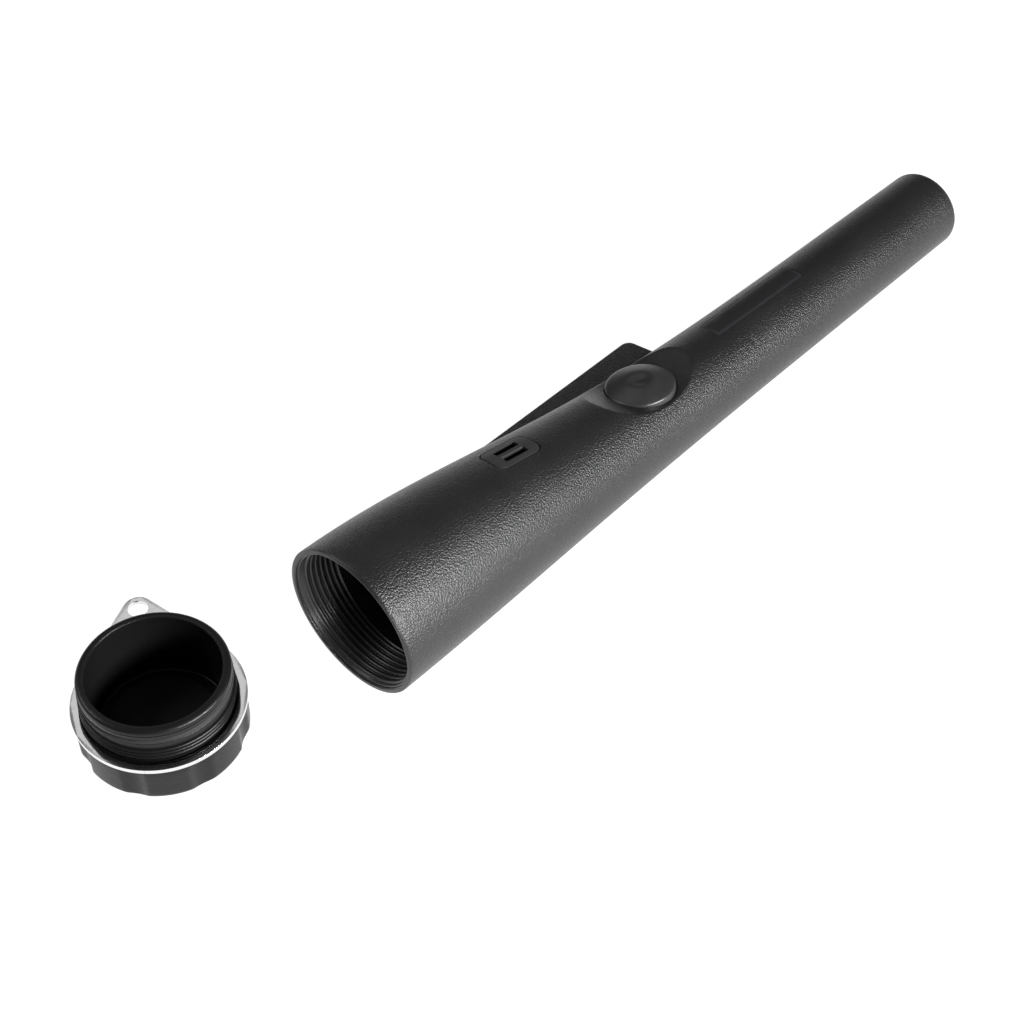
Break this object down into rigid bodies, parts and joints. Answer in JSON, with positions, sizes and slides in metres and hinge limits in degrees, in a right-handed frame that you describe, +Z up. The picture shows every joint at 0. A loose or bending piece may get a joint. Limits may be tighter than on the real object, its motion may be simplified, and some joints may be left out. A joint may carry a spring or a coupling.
{
  "type": "metal detecting pinpointer probe",
  "caption": "Hand-held pinpointer probe: tapered moulded body with side scraper blade, round push button, slotted grille, and a fluted screw cap stood beside its open threaded mouth.",
  "frame": {"origin": "centre of the open threaded mouth, on the plane of its rim", "axes": "+X along the body from its mouth to its nose, +Z up from the surface that the body and the cap lie on, which is at z = -19.5 mm; the body is rolled 10.5 degrees about X, so its button leans towards +Y"},
  "size_m": [0.2846, 0.0672, 0.039],
  "materials": {
    "moulded_charcoal": "fine spark-eroded grain, satin",
    "thread_black": "smooth satin",
    "grille_black": "smooth matt",
    "button_black": "smooth satin",
    "label_black": "blank printed film",
    "seal_rubber": "matt rubber",
    "mesh_cloth": "fine woven acoustic mesh",
    "inner_plastic": "moulded",
    "board_green": "solder mask",
    "chip_black": "moulded epoxy",
    "capacitor_sleeve": "shrunk sleeve",
    "trimmer_blue": "moulded",
    "bright_steel": "plated",
    "ring_chrome": "polished nickel chrome",
    "contact_brass": "bare",
    "cone_black": "pressed film",
    "lead_red": "insulated lead",
    "copper_wire": "enamelled copper wire",
    "ferrite_grey": "sintered ferrite",
    "former_ivory": "moulded",
    "foam_grey": "closed-cell foam"
  },
  "bodies": {
    "body": {"housing": "moulded_charcoal", "threaded_collar": "thread_black", "speaker_grille": "grille_black", "grille_mesh": "mesh_cloth", "label_plate": "label_black", "contact_plate": "inner_plastic", "snap_contacts": "bright_steel", "bulkhead": "inner_plastic", "pcb_carrier": "inner_plastic", "main_board": "board_green", "control_chips": "chip_black", "capacitors": "capacitor_sleeve", "tuning_trimmer": "trimmer_blue", "board_screws": "bright_steel", "switch_body": "chip_black", "speaker_bracket": "inner_plastic", "speaker_frame": "bright_steel", "speaker_magnet": "bright_steel", "speaker_cone": "cone_black", "motor_can": "bright_steel", "motor_clip": "inner_plastic", "battery_leads": "lead_red", "coil_leads": "copper_wire", "ferrite_rod": "ferrite_grey", "coil_former": "former_ivory", "receive_winding": "copper_wire", "transmit_winding": "copper_wire", "nose_pad": "foam_grey"},
    "button": {"power_button": "button_black", "button_seal": "seal_rubber"},
    "plunger": {"switch_plunger": "bright_steel"},
    "rotor": {"motor_shaft": "bright_steel", "eccentric_weight": "contact_brass"},
    "ring": {"lanyard_ring": "ring_chrome"},
    "cap": {"cap_shell": "thread_black", "cap_o_ring": "seal_rubber", "battery_pad": "foam_grey"}
  },
  "joints": [
    {"name": "button_press", "type": "slide", "parent": "body", "child": "button", "axis": [0, -0.1822, -0.9833], "range_m": [0, 0.0008], "stiffness_N_per_m": 1500},
    {"name": "plunger_press", "type": "slide", "parent": "body", "child": "plunger", "axis": [0, -0.1822, -0.9833], "range_m": [0, 0.0008]},
    {"name": "motor_spin", "type": "hinge", "parent": "body", "child": "rotor", "pos_m": [0.1241, -0.00086, -0.00466], "axis": [1, 0, 0], "continuous": true},
    {"name": "cap_carry", "type": "hinge", "parent": "body", "child": "ring", "pos_m": [-0.01785, 0.01704, -0.01435], "axis": [0.4366, 0.7867, 0.4366], "range_deg": [0, 103.62]},
    {"name": "cap_turn", "type": "hinge", "parent": "ring", "child": "cap", "pos_m": [-0.0399, 0.0202, -0.0091], "axis": [0, 0, 1], "continuous": true}
  ],
  "couplings": [
    {"joint": "plunger_press", "follows": "button_press", "ratio": 1}
  ]
}
